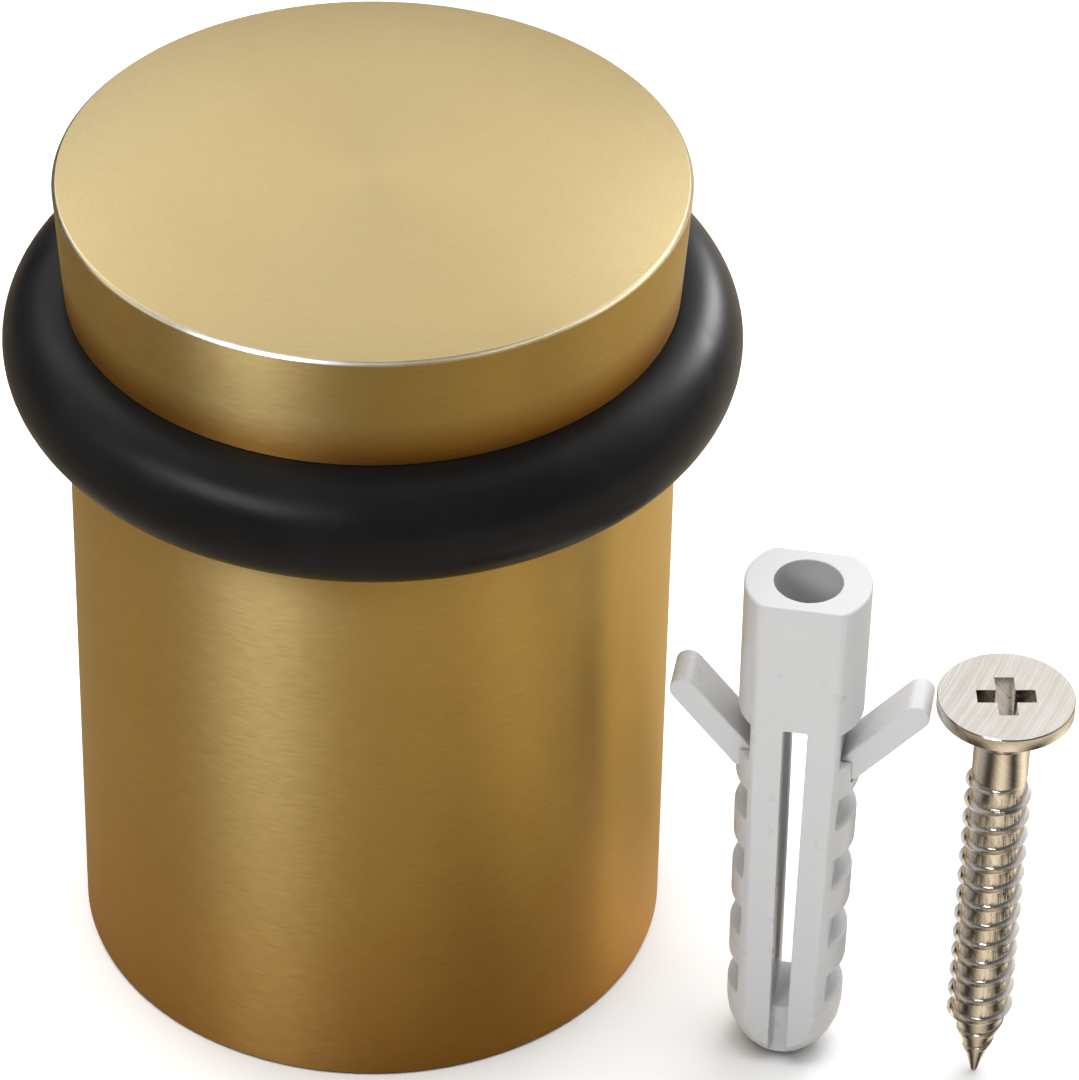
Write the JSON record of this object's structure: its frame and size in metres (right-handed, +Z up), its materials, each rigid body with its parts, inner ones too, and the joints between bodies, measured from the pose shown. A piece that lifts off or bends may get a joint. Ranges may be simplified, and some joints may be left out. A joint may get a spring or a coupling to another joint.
{
  "type": "floor door stop",
  "caption": "Cylindrical brass floor door stop with a black rubber bumper ring, a hidden threaded mounting base, and its wall plug and countersunk screw.",
  "frame": {"origin": "centre of the mounting base's underside, on the floor, on the axis of the fixing screw", "axes": "+Z up along the stop's axis; -Y is the front, and +X points to the side where the plug and the screw stand"},
  "size_m": [0.0519, 0.0362, 0.045],
  "materials": {
    "satin_brass": "brushed",
    "black_rubber": "satin",
    "zinc_plate": "plated",
    "grey_plastic": "satin",
    "nickel_plate": "plated"
  },
  "bodies": {
    "floor_base": {"mounting_base": "zinc_plate"},
    "bumper": {"rubber_ring": "black_rubber"},
    "body": {"body_shell": "satin_brass"},
    "plug": {"wall_plug": "grey_plastic"},
    "wing_left": {"plug_wing_left": "grey_plastic"},
    "wing_right": {"plug_wing_right": "grey_plastic"},
    "screw": {"wood_screw": "nickel_plate"}
  },
  "joints": [
    {"name": "body_rise", "type": "slide", "parent": "floor_base", "child": "bumper", "axis": [0, 0, 1], "range_m": [0, 0.006]},
    {"name": "body_turn", "type": "hinge", "parent": "bumper", "child": "body", "pos_m": [0, 0, 0], "axis": [0, 0, 1], "range_deg": [0, 1440]},
    {"name": "plug_lift", "type": "slide", "parent": "floor_base", "child": "plug", "axis": [0, 0, 1], "range_m": [0, 0.01]},
    {"name": "wing_left_fold", "type": "hinge", "parent": "plug", "child": "wing_left", "pos_m": [0.01835, -0.0115, 0.0192], "axis": [0.1908, 0.9816, 0], "range_deg": [-3, 14], "stiffness_Nm_per_rad": 0.001},
    {"name": "wing_right_fold", "type": "hinge", "parent": "plug", "child": "wing_right", "pos_m": [0.02345, -0.0125, 0.0192], "axis": [-0.1908, -0.9816, 0], "range_deg": [-3, 14], "stiffness_Nm_per_rad": 0.001},
    {"name": "screw_lift", "type": "slide", "parent": "floor_base", "child": "screw", "axis": [0, 0, 1], "range_m": [0, 0.01]}
  ],
  "couplings": [
    {"joint": "body_rise", "follows": "body_turn", "m_per_rad": 0.00023873}
  ]
}
